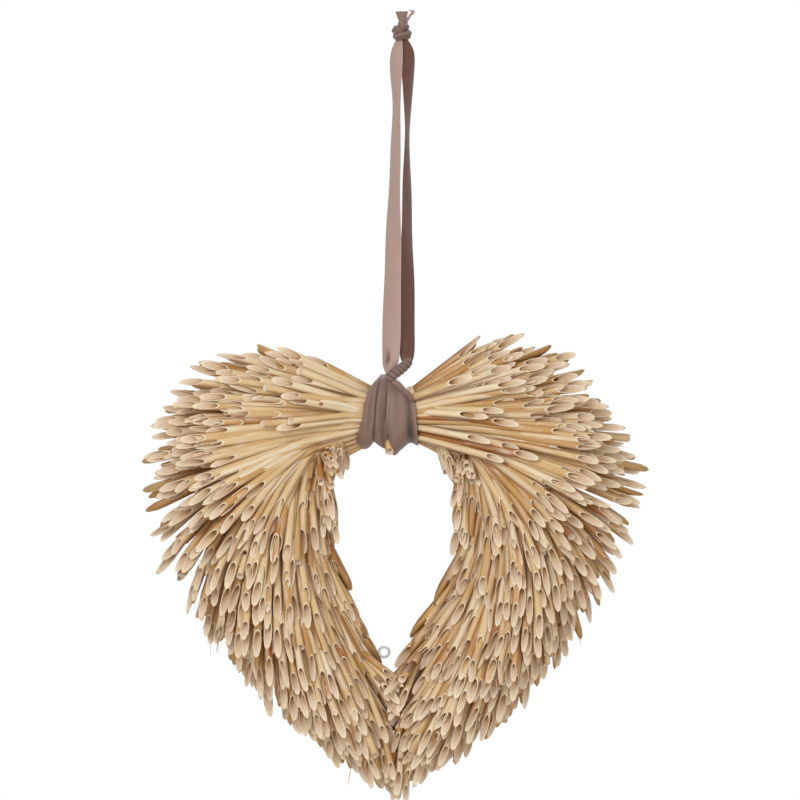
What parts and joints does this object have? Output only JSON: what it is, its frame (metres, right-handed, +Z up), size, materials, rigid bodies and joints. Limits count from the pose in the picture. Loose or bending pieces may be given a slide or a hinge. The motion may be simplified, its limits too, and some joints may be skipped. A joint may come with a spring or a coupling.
{
  "type": "hanging straw heart wreath ornament",
  "caption": "Heart-shaped open wreath of overlapping bunches of cut hollow straws, wrapped at the cleft by a satin ribbon that forms its hanging loop.",
  "frame": {"origin": "hanging point: the top of the ribbon loop, just under its top knot, where a nail or hook holds the part", "axes": "+Z up along the hanging ribbon, +X to the viewer's right, the front of the heart faces -Y and its back faces the wall at +Y"},
  "size_m": [0.2924, 0.0829, 0.4717],
  "materials": {
    "straw": "dry natural straw, satin sheen",
    "ribbon": "taupe satin with a soft sheen",
    "wire": "bare galvanised wire"
  },
  "bodies": {
    "root": {"straws_left_front_01": "straw", "straws_left_front_02": "straw", "straws_left_front_03": "straw", "straws_left_front_04": "straw", "straws_left_front_05": "straw", "straws_left_front_06": "straw", "straws_left_front_07": "straw", "straws_left_front_08": "straw", "straws_left_front_09": "straw", "straws_left_front_10": "straw", "straws_left_front_11": "straw", "straws_left_back_01": "straw", "straws_left_back_02": "straw", "straws_left_back_03": "straw", "straws_left_back_04": "straw", "straws_left_back_05": "straw", "straws_left_back_06": "straw", "straws_left_back_07": "straw", "straws_right_front_01": "straw", "straws_right_front_02": "straw", "straws_right_front_03": "straw", "straws_right_front_04": "straw", "straws_right_front_05": "straw", "straws_right_front_06": "straw", "straws_right_front_07": "straw", "straws_right_front_08": "straw", "straws_right_front_09": "straw", "straws_right_front_10": "straw", "straws_right_front_11": "straw", "straws_right_back_01": "straw", "straws_right_back_02": "straw", "straws_right_back_03": "straw", "straws_right_back_04": "straw", "straws_right_back_05": "straw", "straws_right_back_06": "straw", "straws_right_back_07": "straw", "ribbon": "ribbon", "frame_wire_eye": "wire"}
  },
  "joints": []
}
